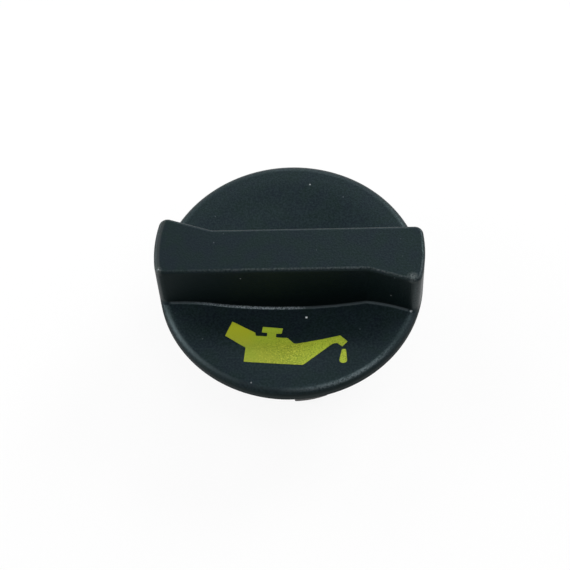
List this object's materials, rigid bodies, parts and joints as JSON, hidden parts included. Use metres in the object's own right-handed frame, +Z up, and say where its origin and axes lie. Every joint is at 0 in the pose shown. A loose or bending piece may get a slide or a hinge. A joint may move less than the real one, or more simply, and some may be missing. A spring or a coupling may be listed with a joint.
{
  "type": "oil filler cap",
  "caption": "Round black plastic engine oil filler cap with a full-width flared grip bar, dished finger spaces, rubber sealing ring and bayonet neck.",
  "frame": {"origin": "on the cap's axis in the sealing plane, the underside of the rubber ring", "axes": "+Z up along the cap's axis from the neck to the grip, X along the grip bar"},
  "size_m": [0.062, 0.062, 0.035],
  "materials": {
    "cap_plastic": "satin, fine spark-eroded grain",
    "plug_plastic": "plain moulded satin",
    "seal_rubber": "matt moulded rubber"
  },
  "bodies": {
    "root": {"grip_cap": "cap_plastic", "bayonet_plug": "plug_plastic", "seal_ring": "seal_rubber"}
  },
  "joints": []
}
